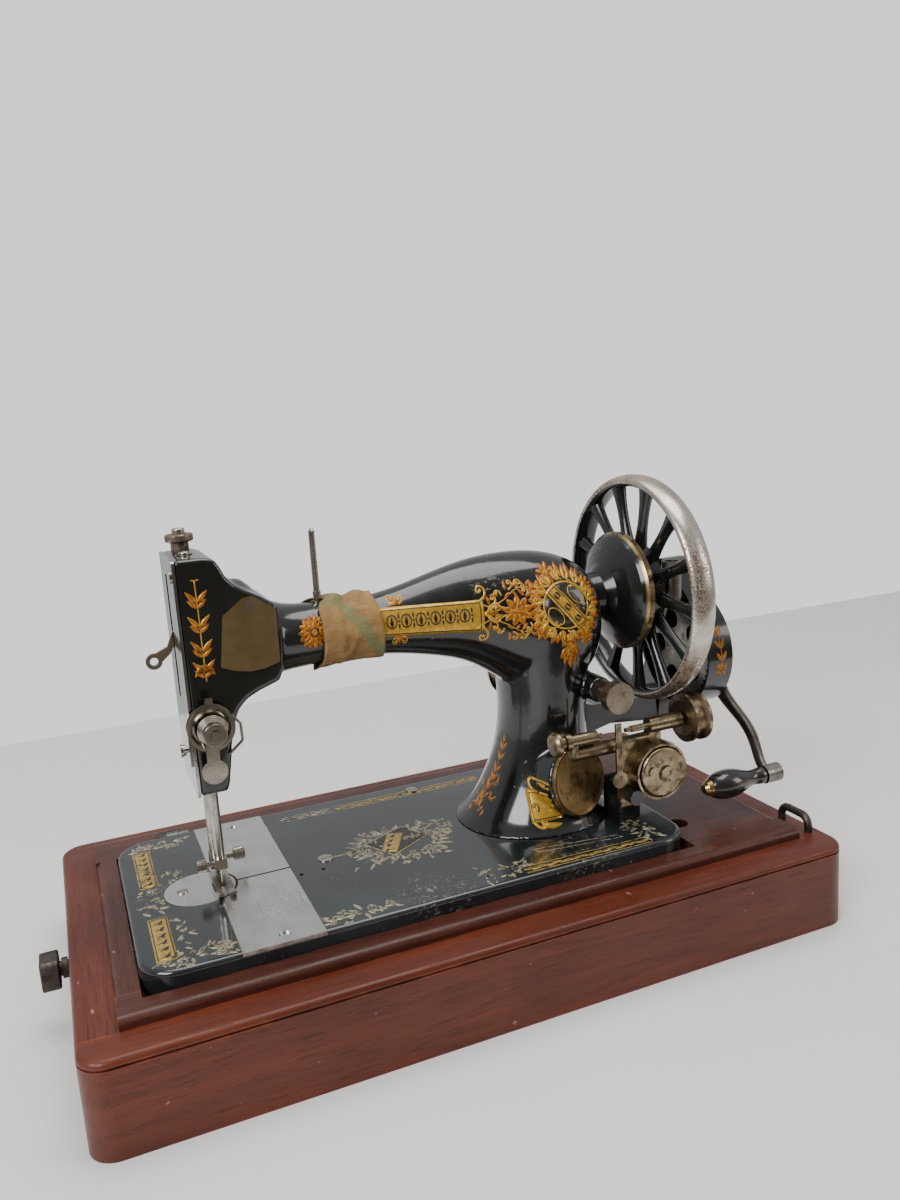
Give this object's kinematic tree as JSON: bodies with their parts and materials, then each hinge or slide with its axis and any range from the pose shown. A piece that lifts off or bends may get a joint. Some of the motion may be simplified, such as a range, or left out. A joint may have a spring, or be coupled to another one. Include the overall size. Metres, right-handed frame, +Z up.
{
  "type": "sewing machine",
  "caption": "Antique hand-cranked vibrating-shuttle sewing machine in black enamel with gold ornament, hinged on a wooden plinth with an accessory compartment.",
  "frame": {"origin": "centre of the plinth's underside", "axes": "+X towards the handwheel, +Y to the back, +Z up"},
  "size_m": [0.4535, 0.251, 0.2726],
  "materials": {
    "mahogany": "polished red-brown mahogany, worn",
    "wrought_iron": "dark oxidised bar",
    "dark_iron": "worn steel",
    "black_enamel": "gloss black enamel with gold ornament",
    "nickel": "worn nickel plate",
    "steel": "bright steel",
    "aged_nickel": "nickel worn through to brass",
    "brass": "aged brass",
    "black_wood": "black lacquered turned wood",
    "cloth": "woven tan strip with a green stripe"
  },
  "bodies": {
    "base": {"base_front_board": "mahogany", "base_back_board": "mahogany", "base_left_board": "mahogany", "base_right_board": "mahogany", "base_bottom_board": "mahogany", "frame_front_rail": "mahogany", "frame_back_rail": "mahogany", "frame_left_rail": "mahogany", "compartment_wall": "mahogany", "staple_loop": "wrought_iron", "hinge_brackets": "dark_iron"},
    "lid": {"compartment_lid": "mahogany"},
    "lock": {"lock_bolt": "dark_iron"},
    "head": {"bed_casting": "black_enamel", "arm_casting": "black_enamel", "face_plate": "nickel", "shield_cover": "nickel", "rear_cover": "nickel", "spool_pin": "nickel", "badge": "brass", "head_screws": "nickel", "needle_plate": "nickel", "tension_stud": "nickel", "tension_discs": "nickel", "tension_spring": "nickel", "tension_plate": "nickel", "check_spring": "nickel", "gear_case": "black_enamel", "crank_bracket": "black_enamel", "winder_bracket": "black_enamel", "cloth_band": "cloth"},
    "needle_bar": {"needle_bar": "steel", "needle_clamp": "steel", "needle": "steel"},
    "presser_bar": {"presser_bar": "steel", "presser_foot": "steel", "foot_screw": "steel"},
    "presser_adjuster": {"presser_adjuster": "nickel"},
    "presser_lifter": {"presser_lifter": "dark_iron"},
    "take_up": {"take_up_lever": "nickel"},
    "tension_nut": {"tension_nut": "nickel"},
    "handwheel": {"handwheel": "black_enamel", "arm_shaft": "steel", "drive_pinion": "dark_iron", "drive_finger": "black_enamel"},
    "crank": {"crank_gear": "dark_iron", "crank_arm": "dark_iron"},
    "grip": {"crank_grip": "black_wood", "grip_cap": "brass"},
    "stitch_knob": {"stitch_knob": "nickel"},
    "winder": {"winder_frame": "aged_nickel", "winder_centre": "aged_nickel", "winder_thread_guide": "aged_nickel"},
    "winder_spindle": {"winder_spindle": "aged_nickel"},
    "winder_wheel": {"winder_wheel": "aged_nickel"},
    "front_slide": {"front_slide_plate": "nickel"},
    "rear_slide": {"rear_slide_plate": "nickel"},
    "shuttle_carrier": {"shuttle_carrier": "dark_iron", "shuttle": "steel"},
    "feed_dog": {"feed_dog": "dark_iron"}
  },
  "joints": [
    {"name": "head_tilt", "type": "hinge", "parent": "base", "child": "head", "pos_m": [0, 0.078, 0.06], "axis": [-1, 0, 0], "range_deg": [0, 90]},
    {"name": "lid_hinge", "type": "hinge", "parent": "base", "child": "lid", "pos_m": [0.1986, 0, 0.05], "axis": [0, 1, 0], "range_deg": [0, 14]},
    {"name": "lock_pull", "type": "slide", "parent": "base", "child": "lock", "axis": [-1, 0, 0], "range_m": [0, 0.012]},
    {"name": "needle_bar_slide", "type": "slide", "parent": "head", "child": "needle_bar", "axis": [0, 0, 1], "range_m": [0, 0.03]},
    {"name": "take_up_swing", "type": "hinge", "parent": "head", "child": "take_up", "pos_m": [-0.1265, -0.0066, 0.214], "axis": [0, 1, 0], "range_deg": [0, 45]},
    {"name": "presser_lift", "type": "hinge", "parent": "head", "child": "presser_lifter", "pos_m": [-0.13, 0.02, 0.158], "axis": [0, -1, 0], "range_deg": [0, 85]},
    {"name": "presser_bar_slide", "type": "slide", "parent": "head", "child": "presser_bar", "axis": [0, 0, 1], "range_m": [0, 0.0065]},
    {"name": "presser_adjuster_turn", "type": "hinge", "parent": "head", "child": "presser_adjuster", "pos_m": [-0.1343, 0.0005, 0.262], "axis": [0, 0, 1], "range_deg": [-360, 360]},
    {"name": "tension_nut_turn", "type": "hinge", "parent": "head", "child": "tension_nut", "pos_m": [-0.1343, -0.052, 0.1658], "axis": [0, -1, 0], "range_deg": [-360, 360]},
    {"name": "stitch_knob_turn", "type": "hinge", "parent": "head", "child": "stitch_knob", "pos_m": [0.0985, -0.05, 0.147], "axis": [0, -1, 0], "range_deg": [-360, 360]},
    {"name": "handwheel_spin", "type": "hinge", "parent": "head", "child": "handwheel", "pos_m": [0.15, -0.0093, 0.199], "axis": [1, 0, 0], "continuous": true},
    {"name": "crank_spin", "type": "hinge", "parent": "head", "child": "crank", "pos_m": [0.19, -0.023, 0.1577], "axis": [1, 0, 0], "continuous": true},
    {"name": "grip_spin", "type": "hinge", "parent": "crank", "child": "grip", "pos_m": [0.18, -0.063, 0.07541], "axis": [1, 0, 0], "continuous": true},
    {"name": "winder_tilt", "type": "hinge", "parent": "head", "child": "winder", "pos_m": [0.106, -0.062, 0.084], "axis": [0, -1, 0], "range_deg": [0, 2.5]},
    {"name": "winder_spin", "type": "hinge", "parent": "winder", "child": "winder_spindle", "pos_m": [0.13, -0.062, 0.125], "axis": [1, 0, 0], "continuous": true},
    {"name": "winder_wheel_turn", "type": "hinge", "parent": "winder", "child": "winder_wheel", "pos_m": [0.124, -0.062, 0.0975], "axis": [0, -1, 0], "continuous": true},
    {"name": "front_slide_pull", "type": "slide", "parent": "head", "child": "front_slide", "axis": [0, -1, 0], "range_m": [0, 0.03]},
    {"name": "rear_slide_pull", "type": "slide", "parent": "head", "child": "rear_slide", "axis": [0, 1, 0], "range_m": [0, 0.008]},
    {"name": "shuttle_swing", "type": "hinge", "parent": "head", "child": "shuttle_carrier", "pos_m": [-0.06, 0.02, 0.045], "axis": [0, 0, 1], "range_deg": [-10, 10]},
    {"name": "feed_dog_slide", "type": "slide", "parent": "head", "child": "feed_dog", "axis": [0, 1, 0], "range_m": [-0.0008, 0.0007]}
  ],
  "couplings": [
    {"joint": "crank_spin", "follows": "handwheel_spin", "ratio": -0.33333},
    {"joint": "take_up_swing", "follows": "needle_bar_slide", "rad_per_m": 26.17},
    {"joint": "presser_bar_slide", "follows": "presser_lift", "m_per_rad": 0.00438},
    {"joint": "winder_wheel_turn", "follows": "winder_spin", "ratio": 0.025}
  ]
}
